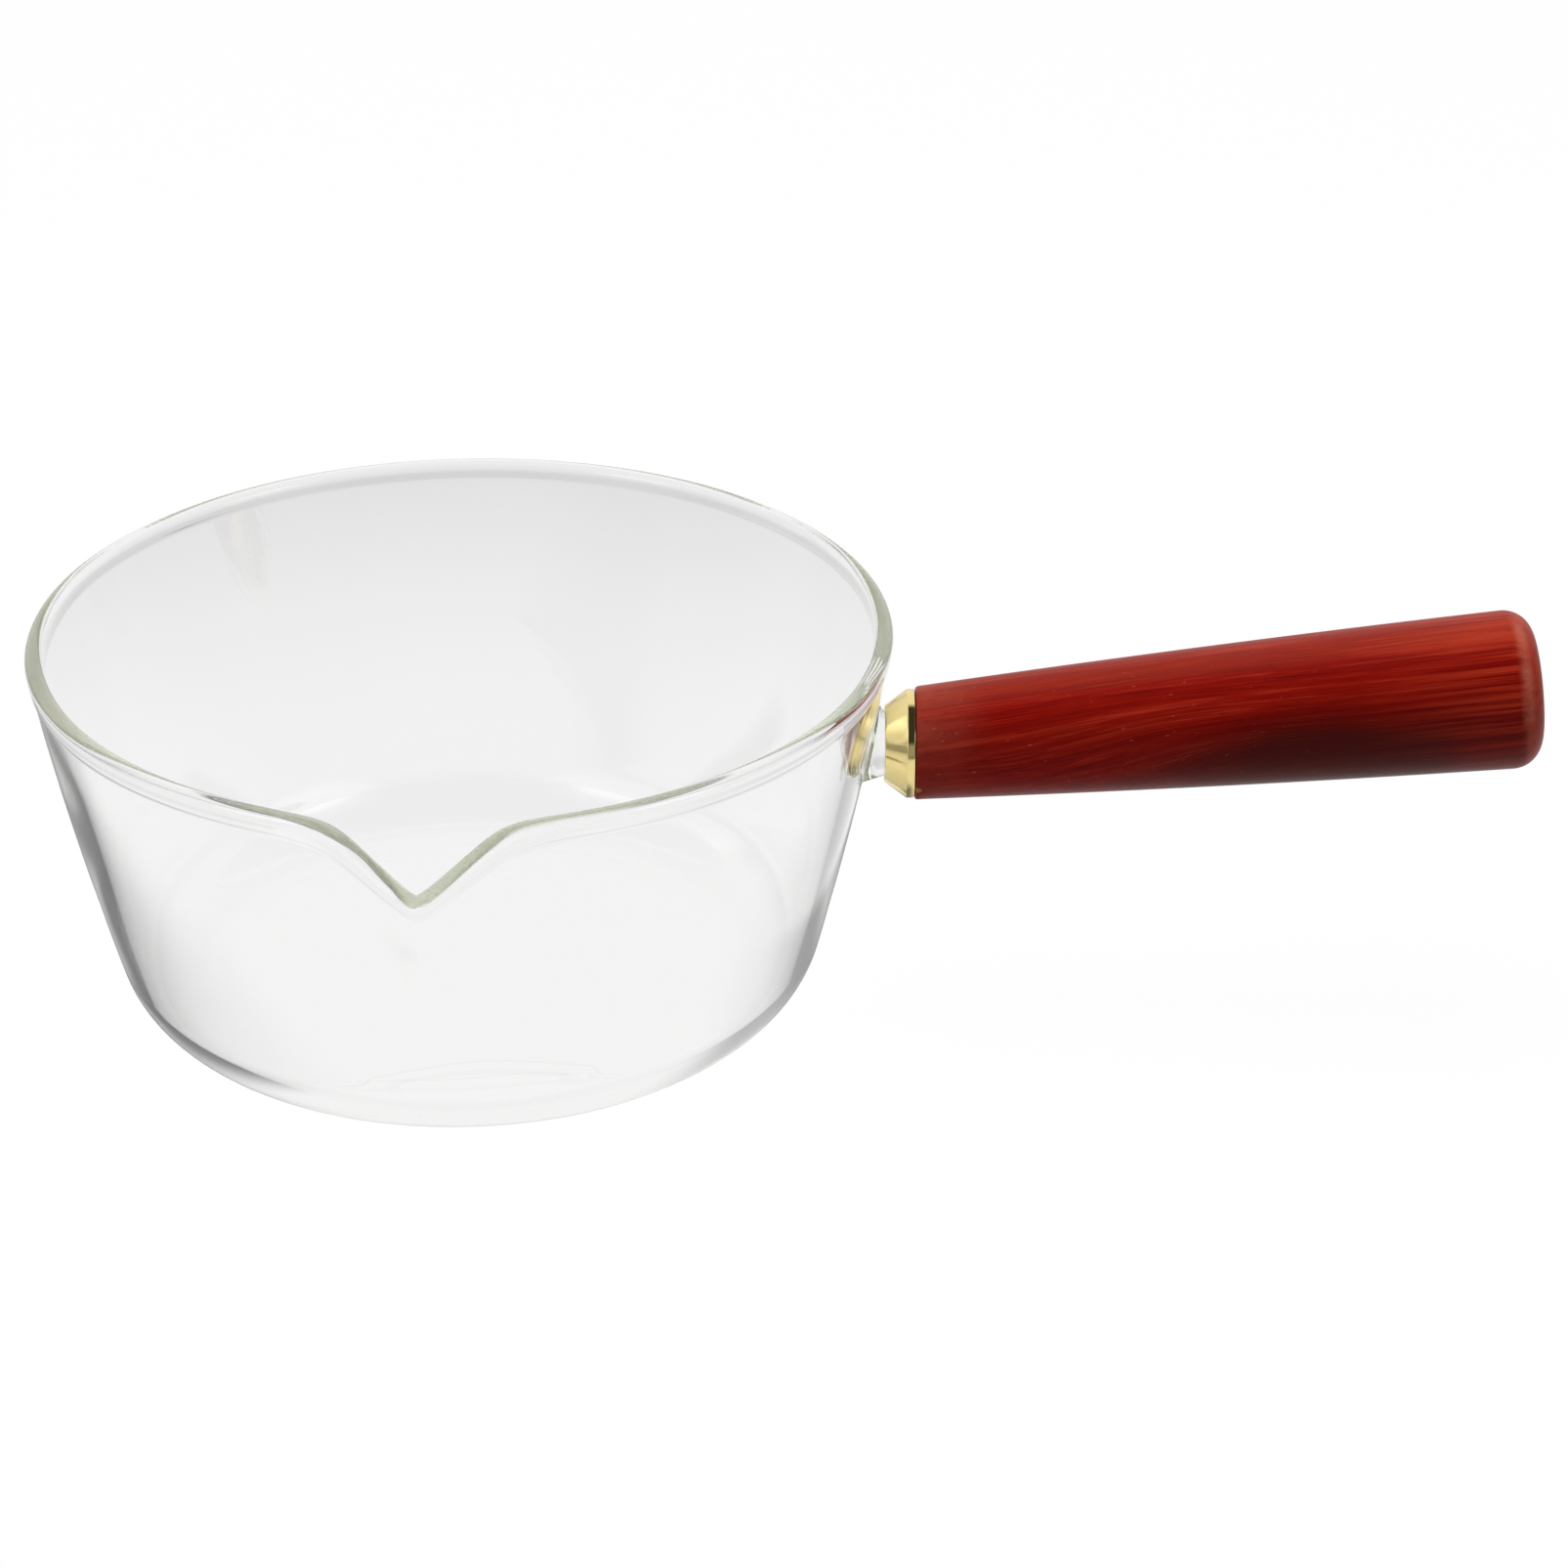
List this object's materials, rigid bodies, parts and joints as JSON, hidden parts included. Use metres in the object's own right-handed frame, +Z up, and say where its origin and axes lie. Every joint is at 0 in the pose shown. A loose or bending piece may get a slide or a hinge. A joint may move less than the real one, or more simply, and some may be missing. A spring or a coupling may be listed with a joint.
{
  "type": "glass milk pan",
  "caption": "Clear glass saucepan with a beaded rim, a pinched pouring lip and a tapered wooden handle that screws onto a fused glass stem through a metal ferrule.",
  "frame": {"origin": "centre of the pan's flat base, on the surface that it stands on", "axes": "+X out along the handle, -Y the way the spout pours, +Z up the pan's axis"},
  "size_m": [0.2633, 0.1548, 0.0713],
  "materials": {
    "clear_glass": "clear blown borosilicate, faintly green at its edges, fire-polished rim",
    "polished_gold": "mirror-polished pale gold plate on brass",
    "red_wood": "straight-grained red hardwood under a satin lacquer",
    "insert_brass": "turned brass",
    "stud_steel": "zinc-plated steel",
    "cured_resin": "cured heat-proof potting resin",
    "white_silicone": "soft white silicone"
  },
  "bodies": {
    "pan": {"glass_pan": "clear_glass", "insert_sleeve": "cured_resin", "stem_insert": "insert_brass"},
    "ferrule": {"ferrule": "polished_gold"},
    "handle": {"handle_grip": "red_wood", "handle_stud": "stud_steel", "grip_insert": "insert_brass", "end_washer": "white_silicone"}
  },
  "joints": [
    {"name": "ferrule_travel", "type": "slide", "parent": "pan", "child": "ferrule", "axis": [1, 0, 0], "range_m": [0, 0.01015]},
    {"name": "handle_turn", "type": "hinge", "parent": "ferrule", "child": "handle", "pos_m": [0.0791, 0, 0.047], "axis": [1, 0, 0], "range_deg": [0, 5220]}
  ],
  "couplings": [
    {"joint": "ferrule_travel", "follows": "handle_turn", "m_per_rad": 0.00011141}
  ]
}
